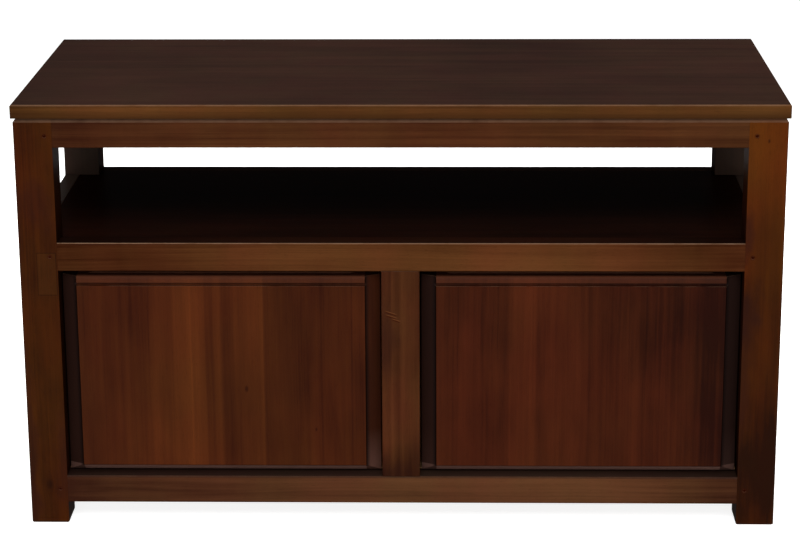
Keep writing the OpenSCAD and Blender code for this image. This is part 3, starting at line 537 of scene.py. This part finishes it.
def wood(node, axis, dark, pale, seed, lacquer, run=EVEN, staves=None, across=None, contrast=0.5, blotch=0.2,
         tints=0.5, over=None, upper=None, knots=(), bevel_wear=None, corners=False, patch=None, inner=0.0):
    """A stained and lacquered wood for one piece.

    axis is the way of the grain, run the tone along it, and staves the tone across it, on the axis across.
    contrast is the strength of the figure, blotch that of the blotches, and tints that of the redder and browner
    patches. upper is the dark and the pale stain of faces that look straight up, on some pieces a painted shade and
    sheen; knots and patch are flaws as listed above, and over adds what lies over the stain, and on some pieces
    painted light and shade. bevel_wear is how much the sloping faces are lightened, partly as worn
    stain and partly as a painted highlight, corners rubs the outer corners of the stand too, and inner darkens the
    face that looks to its middle, a painted shade.
    """
    sizes = bpy.context.scene.stand_grain
    stains = chosen_stains()
    material = bpy.data.materials.new(f"{node}_wood")
    tree = cleared(material)
    place = tree.add("ShaderNodeTexCoord").outputs["Object"]
    flat = tree.add("ShaderNodeNewGeometry").outputs["Normal"]
    rounded = tree.add("ShaderNodeBevel", {"Radius": sizes.wear_width}, samples=6).outputs[0]
    grain_node = tree.add("ShaderNodeGroup", node_tree=grain_group())
    tree.links.new(grain_place(tree, round_knots(tree, place, knots), axis, seed), grain_node.inputs["Place"])
    grain = grain_node.outputs

    tone = wood_tone(tree, place, grain, node, axis, run, staves, across, contrast, blotch)
    colour = tree.blend(tone, opaque(dark), opaque(pale))
    if upper:
        deck = tree.blend(tone, opaque(upper[0]), opaque(upper[1]))
        colour = tree.blend(tree.limit(tree.split(flat)[2], NEARLY, SQUARE), colour, deck)
    hue = tree.noise(place, HUE_SCALE, 2.0).outputs[0]
    hue = tree.limit(hue, 0.35, 0.65, 0.5 - tints / 2, 0.5 + tints / 2)
    colour = tree.blend(1.0, colour, tree.blend(hue, opaque(stains.warm), opaque(stains.cool)), "MULTIPLY")
    colour = dark_knots(tree, place, knots, colour, dark)
    if patch:
        colour = let_in(tree, place, patch, colour, dark)
    # A painted shade: faces that look to the middle of the stand are darkened.
    if inner:
        low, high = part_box(node)
        inward = tree.math("MULTIPLY", tree.split(flat)[0], -math.copysign(1.0, low.x + high.x))
        colour = tree.blend(tree.limit(inward, NEARLY, SQUARE, 0.0, inner), colour, darkened(dark, 0.3))
    colour = tree.blend(tree.math("MULTIPLY", grain["Pores"], PORE_SHARE), colour, darkened(dark, 0.35))
    if over:
        colour = over(tree, place, colour)
    slope_lightening = sizes.bevel_wear if bevel_wear is None else bevel_wear
    colour = worn(tree, place, colour, flat, rounded, slope_lightening, corners)

    height = tree.math("SUBTRACT", grain["Fibre"], grain["Pores"])
    relief = {"Strength": 0.35, "Distance": sizes.relief, "Height": height, "Normal": rounded}
    normal = tree.add("ShaderNodeBump", relief).outputs[0]
    roughness = tree.limit(grain["Fibre"], 0.3, 0.7, sizes.wood_roughness - 0.07, sizes.wood_roughness + 0.1)
    shader = tree.add("ShaderNodeBsdfPrincipled", {
        "Base Color": colour, "Roughness": roughness, "Normal": normal, "Specular IOR Level": 0.0,
        "Coat Weight": lacquer, "Coat Roughness": sizes.lacquer_roughness, "Coat Normal": normal})
    tree.add("ShaderNodeOutputMaterial", {"Surface": shader.outputs[0]})
    return material


def put(node, material):
    """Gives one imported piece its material."""
    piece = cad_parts[node]
    if not piece.material_slots:
        piece.data.materials.append(material)
    for slot in piece.material_slots:
        slot.material = material


def stained(node, axis, seed, **look):
    """Puts the frame's stain on a piece, or another look where one is given."""
    stains = chosen_stains()
    grain = bpy.context.scene.stand_grain
    settings = dict(dark=stains.frame_dark, pale=stains.frame_pale, lacquer=grain.frame_lacquer)
    settings.update(look)
    put(node, wood(node, axis, seed=seed, **settings))


def bare(node, axis, seed):
    """Leaves a piece in bare wood."""
    stains = chosen_stains()
    stained(node, axis, seed, dark=stains.bare_dark, pale=stains.bare_pale, lacquer=0.0)


class TVSTAND_OT_top_board(Operator):
    """Stain the top board"""

    bl_idname = "tv_stand.top_board"
    bl_label = "Top board"

    def execute(self, context):
        stains = context.scene.stand_stains
        # upper paints the top face darker and greyer than the rim: a painted shade and sheen.
        stained("top_board", "X", 1.3, dark=stains.rim_dark, pale=stains.rim_pale,
                upper=(stains.top_shade_sheen_dark, stains.top_shade_sheen_pale), lacquer=context.scene.stand_grain.top_lacquer,
                run=RIM_RUN, contrast=0.55, over=self.darker_at_edge)
        return {"FINISHED"}

    def darker_at_edge(self, tree, place, colour):
        """A darker tone that deepens towards the lower edge of the rim."""
        low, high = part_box("top_board")
        edge_darkening = tree.limit(tree.split(place)[2], high.z - 0.005, low.z + 0.001, 0.0, 0.7, "SMOOTHSTEP")
        return tree.blend(edge_darkening, colour, opaque(chosen_stains().rim_dark))


class TVSTAND_OT_legs(Operator):
    """Stain the four legs"""

    bl_idname = "tv_stand.legs"
    bl_label = "Legs"

    def execute(self, context):
        stains = context.scene.stand_stains
        # inner paints shade on the faces of the legs that look to the middle of the stand.
        look = dict(contrast=0.32, tints=1.0, corners=True, inner=0.75)
        front = dict(look, dark=stains.leg_dark, pale=stains.leg_pale, blotch=0.5)
        stained("leg_front_left", "Z", 2.2, run=LEFT_LEG_RUN, knots=LEFT_LEG_KNOTS, patch=LEFT_LEG_PATCH,
                over=self.used(-PEG_X, LEFT_LEG_SMUDGES), **front)
        stained("leg_front_right", "Z", 3.9, run=RIGHT_LEG_RUN, knots=RIGHT_LEG_KNOTS,
                over=self.used(PEG_X, RIGHT_LEG_SMUDGES), **front)
        rear = dict(look, dark=stains.rear_shade_dark, pale=stains.rear_shade_pale, over=self.dusty,
                    lacquer=context.scene.stand_grain.shelf_lacquer)
        stained("leg_rear_left", "Z", 5.1, **rear)
        stained("leg_rear_right", "Z", 6.7, **rear)
        return {"FINISHED"}

    def used(self, peg_x, smudges):
        """Marks of use on a front leg: smudges, and stain that has run into the wood round its three pegs."""
        stains = chosen_stains()
        radius, depth = PEG_HALO
        halos = [(peg_x, z, radius, radius, depth) for z in PEG_HEIGHTS]

        def over(tree, place, colour):
            colour = smudged(tree, place, smudges, colour, stains.smudge)
            return smudged(tree, place, halos, colour, stains.peg_stain, 0.3)

        return over

    def dusty(self, tree, place, colour):
        """Greys the fronts of the rear legs, under the top: partly settled grey dirt, partly a painted shade and
        sheen.
        """
        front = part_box("leg_rear_left")[0].y
        on_front = tree.limit(tree.split(place)[1], front + 0.0005, front + 0.002, 0.6, 0.0)
        return tree.blend(on_front, colour, opaque(chosen_stains().dust_and_sheen))


class TVSTAND_OT_rails(Operator):
    """Stain the rails and the stile between the drawers"""

    bl_idname = "tv_stand.rails"
    bl_label = "Rails and stile"

    def execute(self, context):
        stains = context.scene.stand_stains
        thin = context.scene.stand_grain.shelf_lacquer
        # The shelf's painted shade also covers the top of the middle rail, and a darker painted shade the rear rails'
        # tops.
        shelf_like = (stains.shelf_shade_dark, stains.shelf_shade_pale)
        shaded = [0.35 * Vector(colour) for colour in shelf_like]
        dusty = (stains.deck_dark, stains.deck_pale)
        stained("front_top_rail", "X", 7.3, run=TOP_RAIL_RUN)
        # The middle rail's top chamfer is lightened strongly: a painted highlight.
        stained("front_middle_rail", "X", 8.1, run=MIDDLE_RAIL_RUN, upper=shelf_like, lacquer=thin, bevel_wear=0.9)
        stained("front_bottom_rail", "X", 9.4, dark=stains.bottom_dark, pale=stains.bottom_pale, run=BOTTOM_RAIL_RUN,
                upper=(stains.foot_dust_sheen_dark, stains.foot_dust_sheen_pale), bevel_wear=0.0, over=self.darker_at_edge)
        stained("centre_stile", "Z", 10.2, dark=stains.stile_dark, pale=stains.stile_pale, run=STILE_RUN,
                staves=STILE_STAVES, across="X", contrast=0.4, blotch=0.5, tints=1.0, over=self.knocked)
        for number, level in enumerate(("top", "middle", "bottom")):
            stained(f"rear_{level}_rail", "X", 11.3 + number, upper=shaded, lacquer=thin)
            stained(f"side_{level}_rail_left", "Y", 14.6 + number, upper=dusty)
            stained(f"side_{level}_rail_right", "Y", 17.9 + number, upper=dusty)
        return {"FINISHED"}

    def darker_at_edge(self, tree, place, colour):
        """A darker tone along the upper edge of the bottom rail's front, under the drawers."""
        low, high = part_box("front_bottom_rail")
        _, y, z = tree.split(place)
        on_face = tree.limit(y, low.y + 0.001, low.y + 0.003, 1.0, 0.0)
        at_edge = tree.limit(z, high.z - 0.004, high.z - 0.0005, 0.0, 0.65, "SMOOTHSTEP")
        return tree.blend(tree.math("MULTIPLY", on_face, at_edge), colour, opaque(chosen_stains().foot_dust_sheen_dark))

    def knocked(self, tree, place, colour):
        """Marks of use on the stile: smudges at its ends and three scratches near its top."""
        stains = chosen_stains()
        colour = smudged(tree, place, STILE_SMUDGES, colour, stains.smudge)
        return scratched(tree, place, STILE_SCRATCHES, colour, stains.frame_pale, stains.peg_stain)


class TVSTAND_OT_panels(Operator):
    """Stain the side panels and the back panel"""

    bl_idname = "tv_stand.panels"
    bl_label = "Panels"

    def execute(self, context):
        stains = context.scene.stand_stains
        colours = dict(dark=stains.panel_dark, pale=stains.panel_pale)
        stained("side_panel_left", "Z", 21.4, **colours)
        stained("side_panel_right", "Z", 22.8, **colours)
        stained("back_panel", "X", 23.1, **colours)
        return {"FINISHED"}


class TVSTAND_OT_shelf(Operator):
    """Stain the shelf board"""

    bl_idname = "tv_stand.shelf"
    bl_label = "Shelf"

    def execute(self, context):
        stains = context.scene.stand_stains
        stained("shelf_board", "X", 24.7, dark=stains.shelf_shade_dark, pale=stains.shelf_shade_pale,
                lacquer=context.scene.stand_grain.shelf_lacquer, over=self.painted_back_shade)
        return {"FINISHED"}

    def painted_back_shade(self, tree, place, colour):
        """Darker towards the back of the shelf: a painted shade under the top."""
        deep = tree.limit(tree.split(place)[1], -0.14, 0.05, 0.0, 0.75, "SMOOTHSTEP")
        return tree.blend(deep, colour, darkened(chosen_stains().shelf_shade_dark, 0.2))


class TVSTAND_OT_slides(Operator):
    """Finish the bare runners, guides, kickers and stops"""

    bl_idname = "tv_stand.slides"
    bl_label = "Runners, guides and kickers"

    def execute(self, context):
        pieces = [f"{kind}_{side}" for kind in ("runner", "guide", "kicker") for side in ("left", "centre", "right")]
        for number, node in enumerate(pieces + ["drawer_stops"]):
            bare(node, "Y", 26.2 + number)
        return {"FINISHED"}


class TVSTAND_OT_fixings(Operator):
    """Finish the top's buttons, their screws and the joint pegs"""

    bl_idname = "tv_stand.fixings"
    bl_label = "Buttons, screws and pegs"

    def execute(self, context):
        stains = context.scene.stand_stains
        bare("top_buttons", "Y", 37.5)
        stained("joint_pegs", "Y", 38.3, dark=stains.peg, pale=stains.peg_pale, lacquer=0.0)
        put("button_screws", self.plated_steel(stains.screw))
        return {"FINISHED"}

    def plated_steel(self, colour):
        """Zinc plating with fine turning marks and dull patches."""
        material = bpy.data.materials.new("button_screws_steel")
        tree = cleared(material)
        place = tree.add("ShaderNodeTexCoord").outputs["Object"]
        marks = tree.noise(place, TURNING_SCALE, 2.0).outputs[0]
        patches = tree.noise(place, DULL_SCALE, 3.0).outputs[0]
        normal = tree.add("ShaderNodeBump", {"Strength": 0.2, "Distance": 0.0001, "Height": marks}).outputs[0]
        shader = tree.add("ShaderNodeBsdfPrincipled", {
            "Base Color": tree.blend(patches, darkened(colour, 0.75), opaque(colour)), "Metallic": 1.0,
            "Roughness": tree.limit(patches, 0.3, 0.7, 0.25, 0.45), "Normal": normal})
        tree.add("ShaderNodeOutputMaterial", {"Surface": shader.outputs[0]})
        return material


class TVSTAND_OT_drawer_fronts(Operator):
    """Stain and glaze the two drawer fronts"""

    bl_idname = "tv_stand.drawer_fronts"
    bl_label = "Drawer fronts"

    def execute(self, context):
        stains = context.scene.stand_stains
        look = dict(run=FRONT_RUN, across="X", contrast=0.3, bevel_wear=0.0)
        left, right = "drawer_left_front", "drawer_right_front"
        stained(left, "Z", 40.6, dark=stains.front_dark, pale=stains.front_pale, staves=LEFT_FRONT_STAVES,
                knots=LEFT_FRONT_KNOTS, over=self.glaze_of(left, (0.12, 0.6), (0.0, 0.3)), **look)
        stained(right, "Z", 43.2, dark=stains.right_dark, pale=stains.right_pale, staves=RIGHT_FRONT_STAVES,
                over=self.glaze_of(right, (0.1, 0.08), (0.04, 0.06)), **look)
        return {"FINISHED"}

    def glaze_of(self, node, thin, foot_highlight):
        """The lip, paler towards its top, the dark groove, and the glaze in the bevels round the raised field, with
        painted light on the lip, a painted shade where the bevels meet the field and a painted highlight and
        reflection on the lower bevels.

        thin is how thin the glaze lies at the left and the right, which paints one side bevel lighter as light falls
        on it, and foot_highlight how much their lower ends are lightened, a painted highlight.
        """
        stains = chosen_stains()
        low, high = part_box(node)
        groove = [low.z + height for height in GROOVE_HEIGHTS]
        bevels = [low.y + depth for depth in BEVEL_DEPTHS]
        lower_edge = low.z + FIELD_FOOT

        def glaze(tree, place, colour):
            x, y, z = tree.split(place)
            from_left = along_piece(tree, place, node, "X")
            in_field = tree.within(x, low.x + FIELD_SIDE, high.x - FIELD_SIDE)
            on_lip = tree.math("MULTIPLY", tree.within(z, groove[1], high.z + 0.001), in_field)
            deep = tree.math("MULTIPLY", tree.within(y, *bevels), tree.math("SUBTRACT", 1.0, on_lip))
            # The lip is paler towards its top: partly rubbed by hands, partly painted light that lifts the rail's
            # shadow.
            rub_and_light = tree.limit(z, high.z - LIP_RUB_AND_LIGHT[0], high.z - LIP_RUB_AND_LIGHT[1], 0.25, 0.8)
            colour = tree.blend(tree.math("MULTIPLY", on_lip, rub_and_light), colour, opaque(stains.lip))
            # The glaze is thinner on one side than the other, which paints one side bevel lighter, as light falls on
            # it.
            coat = tree.blend(tree.limit(from_left, *MIDDLE, *thin), opaque(stains.bevel_glaze), colour)

            # The lower ends of the side bevels are painted paler, a painted highlight, and the lower bevel a painted
            # reflection.
            lower_end_highlight = tree.limit(z, low.z + FOOT_HIGHLIGHT[0], low.z + FOOT_HIGHLIGHT[1])
            lower_end_highlight = tree.math("MULTIPLY", lower_end_highlight, tree.limit(from_left, *MIDDLE, *foot_highlight))
            lower_reflection = tree.limit(z, lower_edge, lower_edge + 0.0006, 1.0, 0.0)
            lower_reflection = tree.math("MULTIPLY", lower_reflection, tree.limit(in_field, 0.0, 1.0, 0.3, 1.0))
            coat = tree.blend(tree.math("MAXIMUM", lower_end_highlight, lower_reflection), coat, opaque(stains.lower_bevel_reflection))

            # A painted shade: the bevels darken where they meet the raised field.
            step_shade = tree.limit(y, low.y + STEP_DEPTHS[0], low.y + STEP_DEPTHS[1], 0.85, 0.0)
            coat = tree.blend(step_shade, coat, darkened(stains.bevel_glaze, 0.3))
            in_groove = tree.math("MULTIPLY", tree.within(z, *groove), in_field)
            coat = tree.blend(in_groove, coat, tree.blend(0.85, opaque(stains.bevel_glaze), colour))
            return tree.blend(deep, colour, coat)

        return glaze


class TVSTAND_OT_drawer_boxes(Operator):
    """Finish the bare sides, backs and bottoms of the drawers"""

    bl_idname = "tv_stand.drawer_boxes"
    bl_label = "Drawer boxes"

    def execute(self, context):
        for number, drawer in enumerate(("drawer_left", "drawer_right")):
            for part, axis in (("side_outer", "Y"), ("side_inner", "Y"), ("back", "X"), ("bottom", "X")):
                bare(f"{drawer}_{part}", axis, 46.1 + 4 * number + len(part) * 0.37)
        return {"FINISHED"}


class TVSTAND_OT_studio(Operator):
    """Set the floor, the world, the lamps and the camera"""

    bl_idname = "tv_stand.studio"
    bl_label = "Studio"

    def execute(self, context):
        scene = context.scene
        studio = scene.stand_studio
        scene.view_settings.view_transform = "Standard"
        self.lay_floor(scene, studio)
        self.light_world(scene, studio)
        for name, (place, faced, width, height, level, spread) in LAMPS.items():
            light = self.hang_lamp(scene, name, Vector(place), Vector(faced), level * studio.lamp_level)
            light.size, light.size_y, light.spread = width, height, math.radians(spread)
        self.place_camera(scene, studio)
        return {"FINISHED"}

    def seen_directly(self, tree):
        """1 for rays that show the background itself: from the camera, in a reflection or through glass."""
        path = tree.add("ShaderNodeLightPath").outputs
        seen = tree.math("MAXIMUM", path["Is Camera Ray"], path["Is Glossy Ray"])
        return tree.math("MAXIMUM", seen, path["Is Transmission Ray"])

    def lay_floor(self, scene, studio):
        half = studio.floor_size / 2
        mesh = bpy.data.meshes.new("floor")
        mesh.from_pydata([(-half, -half, 0), (half, -half, 0), (half, half, 0), (-half, half, 0)], [], [(0, 1, 2, 3)])
        floor = bpy.data.objects.new("floor", mesh)
        scene.collection.objects.link(floor)
        material = bpy.data.materials.new("pale_floor")
        tree = cleared(material)
        plain = tree.add("ShaderNodeBsdfDiffuse", {"Color": opaque(studio.floor_colour)})
        strength = tree.math("MULTIPLY", self.seen_directly(tree), studio.floor_glow)
        glow = tree.add("ShaderNodeEmission", {"Color": WHITE, "Strength": strength})
        both = tree.add("ShaderNodeAddShader", {0: plain.outputs[0], 1: glow.outputs[0]})
        tree.add("ShaderNodeOutputMaterial", {"Surface": both.outputs[0]})
        mesh.materials.append(material)

    def light_world(self, scene, studio):
        world = bpy.data.worlds.new("studio_world")
        tree = cleared(world)
        strength = tree.limit(self.seen_directly(tree), 0.0, 1.0, studio.ambient, 1.0)
        back = tree.add("ShaderNodeBackground", {"Color": WHITE, "Strength": strength})
        tree.add("ShaderNodeOutputWorld", {"Surface": back.outputs[0]})
        scene.world = world

    def hang_lamp(self, scene, name, place, faced, level):
        """A soft lamp; at level 1 it lights a white card that faces it to white."""
        light = bpy.data.lights.new(name, "AREA")
        light.shape = "RECTANGLE"
        away = place - faced
        light.energy = level * math.pi ** 2 * away.length_squared
        lamp = bpy.data.objects.new(name, light)
        lamp.location = place
        lamp.rotation_euler = away.to_track_quat("Z", "Y").to_euler()
        lamp.visible_camera = False
        scene.collection.objects.link(lamp)
        return light

    def place_camera(self, scene, studio):
        camera = bpy.data.objects.new("camera", bpy.data.cameras.new("camera"))
        camera.data.sensor_width = 36.0
        camera.data.lens = studio.lens
        aim = (Matrix.Rotation(studio.camera_turn, 3, "Z")
               @ Matrix.Rotation(math.pi / 2 - studio.camera_dip, 3, "X")
               @ Matrix.Rotation(studio.camera_roll, 3, "Z"))
        camera.location = studio.camera_place
        camera.rotation_euler = aim.to_euler()
        scene.collection.objects.link(camera)
        scene.camera = camera


OPERATORS = (
    TVSTAND_OT_top_board,
    TVSTAND_OT_legs,
    TVSTAND_OT_rails,
    TVSTAND_OT_panels,
    TVSTAND_OT_shelf,
    TVSTAND_OT_slides,
    TVSTAND_OT_fixings,
    TVSTAND_OT_drawer_fronts,
    TVSTAND_OT_drawer_boxes,
    TVSTAND_OT_studio,
)


class TVSTAND_PT_finishes(Panel):
    """Lists the pieces, in the order in which they are finished"""

    bl_label = "Television stand"
    bl_idname = "TVSTAND_PT_finishes"
    bl_space_type = "VIEW_3D"
    bl_region_type = "UI"
    bl_category = "TV stand"

    def draw(self, context):
        column = self.layout.column(align=True)
        for operator in OPERATORS:
            column.operator(operator.bl_idname)


CLASSES = (StandStains, StandGrain, StandStudio, *OPERATORS, TVSTAND_PT_finishes)


def register():
    for each in CLASSES:
        bpy.utils.register_class(each)
    bpy.types.Scene.stand_stains = PointerProperty(type=StandStains)
    bpy.types.Scene.stand_grain = PointerProperty(type=StandGrain)
    bpy.types.Scene.stand_studio = PointerProperty(type=StandStudio)


def unregister():
    del bpy.types.Scene.stand_studio
    del bpy.types.Scene.stand_grain
    del bpy.types.Scene.stand_stains
    for each in reversed(CLASSES):
        bpy.utils.unregister_class(each)


def main():
    """Finishes every piece in order."""
    register()
    for operator in OPERATORS:
        family, name = operator.bl_idname.split(".")
        getattr(getattr(bpy.ops, family), name)()


if __name__ == "__main__":
    main()
